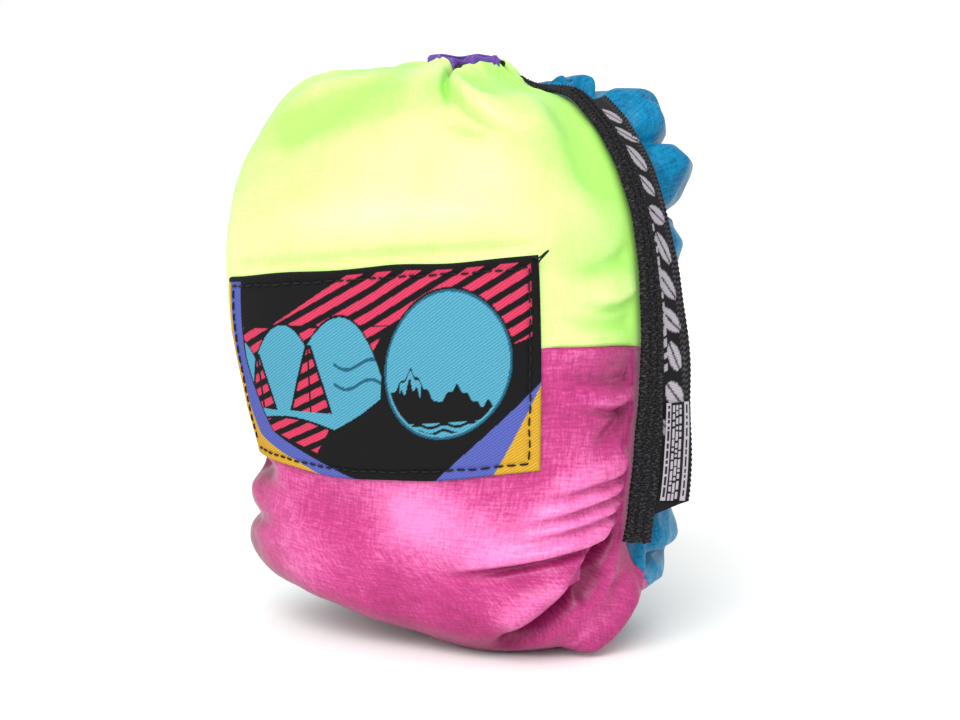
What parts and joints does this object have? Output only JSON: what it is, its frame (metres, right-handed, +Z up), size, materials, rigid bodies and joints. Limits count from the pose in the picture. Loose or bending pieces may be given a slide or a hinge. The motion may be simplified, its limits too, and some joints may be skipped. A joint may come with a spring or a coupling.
{
  "type": "camping hammock",
  "caption": "Camping hammock packed in its drawstring stuff sack, with a woven front patch, a side label tape, a cord lock, and rope loops and wire-gate carabiners inside.",
  "frame": {"origin": "on the floor under the middle of the packed sack's box, cord and cord lock left out", "axes": "+X towards the side with the black seam tape and the label tape, -Y towards the front with the woven patch, +Z up to the gathered mouth"},
  "size_m": [0.1281, 0.1059, 0.1506],
  "materials": {
    "lime_taffeta": "satin nylon taffeta",
    "pink_taffeta": "satin nylon taffeta",
    "teal_taffeta": "satin nylon taffeta",
    "purple_taffeta": "satin nylon taffeta",
    "woven_badge": "jacquard woven polyester",
    "black_thread": "matt thread",
    "black_binding": "ribbed woven tape",
    "black_satin": "printed satin tape",
    "grey_label": "printed satin label",
    "black_cord": "braided polyester cord",
    "black_rope": "braided polyester rope",
    "moulded_nylon": "fine moulded texture",
    "spring_steel": "drawn wire",
    "anodised_aluminium": "satin anodised"
  },
  "bodies": {
    "sack": {"front_upper_panel": "lime_taffeta", "front_lower_panel": "pink_taffeta", "rear_panel": "teal_taffeta", "mouth_sleeve": "purple_taffeta", "woven_patch": "woven_badge", "patch_stitching": "black_thread", "front_seam_stitching": "black_thread", "side_tape_right": "black_binding", "side_tape_left": "black_binding", "label_tape": "black_satin", "tape_stitching": "black_thread", "drawcord": "black_cord", "drawcord_knot": "black_cord", "bed_centre_panel": "pink_taffeta", "bed_side_panel_near": "teal_taffeta", "bed_side_panel_far": "teal_taffeta", "head_end_gather": "pink_taffeta", "foot_end_gather": "pink_taffeta", "head_rope_loop": "black_rope", "foot_rope_loop": "black_rope", "head_carabiner_body": "anodised_aluminium", "foot_carabiner_body": "anodised_aluminium"},
    "head_gate": {"head_carabiner_gate": "spring_steel"},
    "foot_gate": {"foot_carabiner_gate": "spring_steel"},
    "cord_lock": {"cord_lock_barrel": "moulded_nylon", "cord_lock_spring": "spring_steel"},
    "lock_button": {"cord_lock_button": "moulded_nylon"},
    "care_flap": {"care_label": "grey_label"}
  },
  "joints": [
    {"name": "head_gate_hinge", "type": "hinge", "parent": "sack", "child": "head_gate", "pos_m": [0.01135, -0.01606, 0.0645], "axis": [0, -1, 0], "range_deg": [0, 26], "stiffness_Nm_per_rad": 0.05},
    {"name": "foot_gate_hinge", "type": "hinge", "parent": "sack", "child": "foot_gate", "pos_m": [-0.01365, 0.01294, 0.063], "axis": [0, 1, 0], "range_deg": [0, 26], "stiffness_Nm_per_rad": 0.05},
    {"name": "cord_lock_slide", "type": "slide", "parent": "sack", "child": "cord_lock", "axis": [0, 0, -1], "range_m": [0, 0.055]},
    {"name": "lock_button_press", "type": "slide", "parent": "cord_lock", "child": "lock_button", "axis": [-1, 0, 0], "range_m": [0, 0.004], "stiffness_N_per_m": 300},
    {"name": "care_label_flap", "type": "hinge", "parent": "sack", "child": "care_flap", "pos_m": [0.05801, -0.00491, 0.0521], "axis": [0.0497, -0.2234, -0.9735], "range_deg": [0, 50], "stiffness_Nm_per_rad": 0.001}
  ]
}
